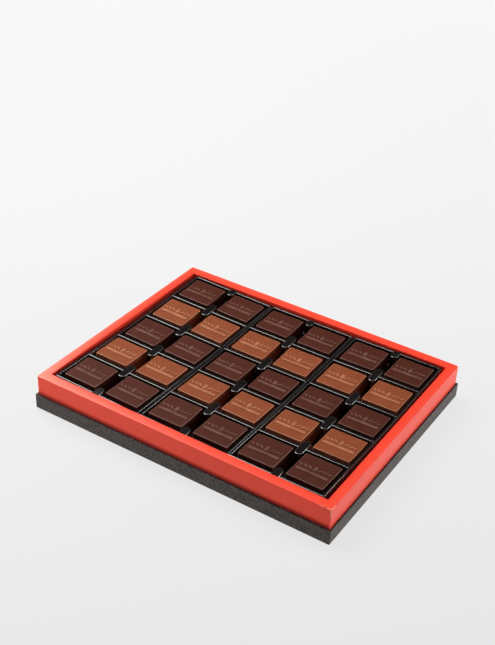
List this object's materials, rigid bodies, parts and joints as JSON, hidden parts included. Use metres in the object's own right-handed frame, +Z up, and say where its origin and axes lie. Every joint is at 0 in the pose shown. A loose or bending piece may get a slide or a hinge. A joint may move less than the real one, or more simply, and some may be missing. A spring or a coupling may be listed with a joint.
{
  "type": "box of chocolates",
  "caption": "Open rectangular gift box with a wide flat rim, a low outer tray and formed inner trays that hold rows of moulded dark and milk chocolates.",
  "frame": {"origin": "on the ground under the middle of the box", "axes": "+X along the long side, +Y from the front long side to the back, +Z up"},
  "size_m": [0.2492, 0.1992, 0.028],
  "materials": {
    "charcoal_paper": "fine-textured matt charcoal paper over board",
    "red_paper": "smooth matt orange-red paper over board",
    "black_plastic": "glossy black formed plastic sheet",
    "dark_chocolate": "satin moulded dark chocolate",
    "milk_chocolate": "satin moulded milk chocolate"
  },
  "bodies": {
    "root": {"base_tray": "charcoal_paper", "frame": "red_paper", "formed_tray_1": "black_plastic", "formed_tray_2": "black_plastic", "formed_tray_3": "black_plastic", "dark_chocolate_row1_column1": "dark_chocolate", "dark_chocolate_row1_column2": "dark_chocolate", "dark_chocolate_row1_column3": "dark_chocolate", "dark_chocolate_row1_column4": "dark_chocolate", "dark_chocolate_row1_column5": "dark_chocolate", "dark_chocolate_row1_column6": "dark_chocolate", "milk_chocolate_row2_column1": "milk_chocolate", "milk_chocolate_row2_column2": "milk_chocolate", "milk_chocolate_row2_column3": "milk_chocolate", "milk_chocolate_row2_column4": "milk_chocolate", "milk_chocolate_row2_column5": "milk_chocolate", "milk_chocolate_row2_column6": "milk_chocolate", "dark_chocolate_row3_column1": "dark_chocolate", "dark_chocolate_row3_column2": "dark_chocolate", "dark_chocolate_row3_column3": "dark_chocolate", "dark_chocolate_row3_column4": "dark_chocolate", "dark_chocolate_row3_column5": "dark_chocolate", "dark_chocolate_row3_column6": "dark_chocolate", "milk_chocolate_row4_column1": "milk_chocolate", "milk_chocolate_row4_column2": "milk_chocolate", "milk_chocolate_row4_column3": "milk_chocolate", "milk_chocolate_row4_column4": "milk_chocolate", "milk_chocolate_row4_column5": "milk_chocolate", "milk_chocolate_row4_column6": "milk_chocolate", "dark_chocolate_row5_column1": "dark_chocolate", "dark_chocolate_row5_column2": "dark_chocolate", "dark_chocolate_row5_column3": "dark_chocolate", "dark_chocolate_row5_column4": "dark_chocolate", "dark_chocolate_row5_column5": "dark_chocolate", "dark_chocolate_row5_column6": "dark_chocolate"}
  },
  "joints": []
}
